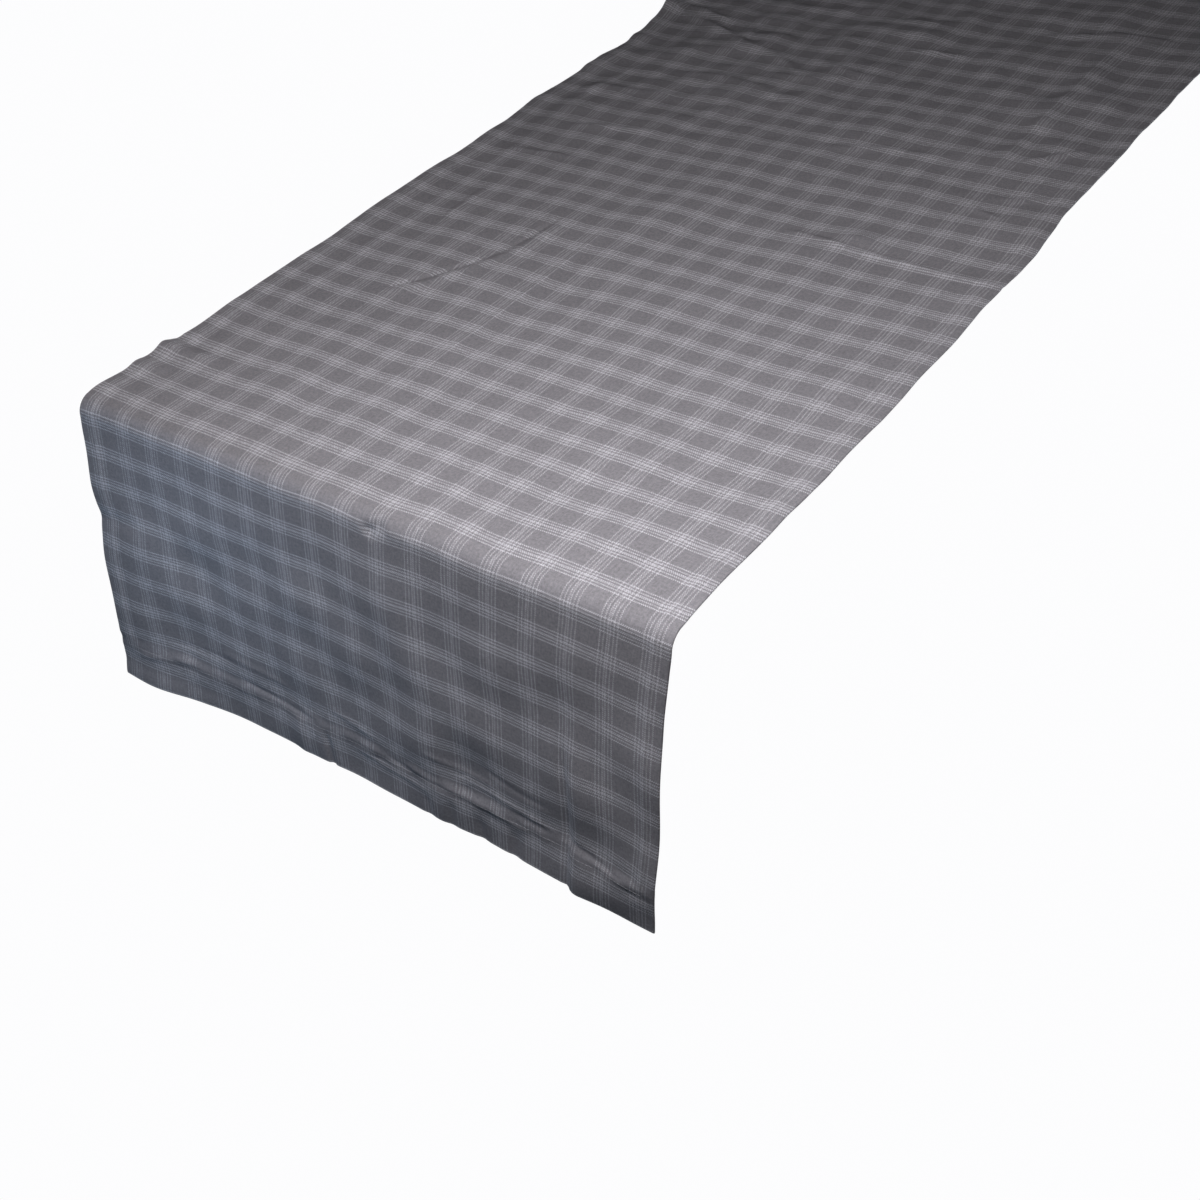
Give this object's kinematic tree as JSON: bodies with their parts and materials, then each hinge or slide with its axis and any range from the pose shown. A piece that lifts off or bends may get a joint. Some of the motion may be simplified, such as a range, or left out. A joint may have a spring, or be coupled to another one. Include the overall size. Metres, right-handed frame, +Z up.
{
  "type": "table runner",
  "caption": "Long, narrow check cloth hemmed on all sides, flat on a table top, with both ends bent over the table's edges and hanging.",
  "frame": {"origin": "middle of the underside of the cloth, on the table top", "axes": "+Z up out of the cloth's face, +Y along the cloth towards its far end, +X to its right"},
  "size_m": [0.45, 1.4308, 0.2143],
  "materials": {
    "check_cloth": "plain-woven cotton, matt",
    "hem_cloth": "plain-woven cotton turned twice, matt",
    "needle_thread": "spun sewing thread",
    "bobbin_thread": "spun sewing thread"
  },
  "bodies": {
    "table_cloth": {"far_bend_left_bobbin_thread": "bobbin_thread", "far_bend_left_hem": "hem_cloth", "far_bend_left_needle_thread": "needle_thread", "far_bend_panel": "check_cloth", "far_bend_right_bobbin_thread": "bobbin_thread", "far_bend_right_hem": "hem_cloth", "far_bend_right_needle_thread": "needle_thread", "near_bend_left_bobbin_thread": "bobbin_thread", "near_bend_left_hem": "hem_cloth", "near_bend_left_needle_thread": "needle_thread", "near_bend_panel": "check_cloth", "near_bend_right_bobbin_thread": "bobbin_thread", "near_bend_right_hem": "hem_cloth", "near_bend_right_needle_thread": "needle_thread", "top_left_bobbin_thread": "bobbin_thread", "top_left_hem": "hem_cloth", "top_left_needle_thread": "needle_thread", "top_panel": "check_cloth", "top_right_bobbin_thread": "bobbin_thread", "top_right_hem": "hem_cloth", "top_right_needle_thread": "needle_thread"},
    "near_drop": {"near_drop_left_bobbin_thread": "bobbin_thread", "near_drop_left_hem": "hem_cloth", "near_drop_left_needle_thread": "needle_thread", "near_drop_panel": "check_cloth", "near_drop_right_bobbin_thread": "bobbin_thread", "near_drop_right_hem": "hem_cloth", "near_drop_right_needle_thread": "needle_thread", "near_end_bobbin_thread": "bobbin_thread", "near_end_hem": "hem_cloth", "near_end_needle_thread": "needle_thread"},
    "far_drop": {"far_drop_left_bobbin_thread": "bobbin_thread", "far_drop_left_hem": "hem_cloth", "far_drop_left_needle_thread": "needle_thread", "far_drop_panel": "check_cloth", "far_drop_right_bobbin_thread": "bobbin_thread", "far_drop_right_hem": "hem_cloth", "far_drop_right_needle_thread": "needle_thread", "far_end_bobbin_thread": "bobbin_thread", "far_end_hem": "hem_cloth", "far_end_needle_thread": "needle_thread"}
  },
  "joints": [
    {"name": "near_drop_lift", "type": "hinge", "parent": "table_cloth", "child": "near_drop", "pos_m": [0, -0.68668, -0.00145], "axis": [-1, 0, 0], "range_deg": [0, 83], "deforming": ["near_bend_left_bobbin_thread", "near_bend_left_hem", "near_bend_left_needle_thread", "near_bend_panel", "near_bend_right_bobbin_thread", "near_bend_right_hem", "near_bend_right_needle_thread"]},
    {"name": "far_drop_lift", "type": "hinge", "parent": "table_cloth", "child": "far_drop", "pos_m": [0, 0.68668, -0.00145], "axis": [1, 0, 0], "range_deg": [0, 83], "deforming": ["far_bend_left_bobbin_thread", "far_bend_left_hem", "far_bend_left_needle_thread", "far_bend_panel", "far_bend_right_bobbin_thread", "far_bend_right_hem", "far_bend_right_needle_thread"]}
  ]
}
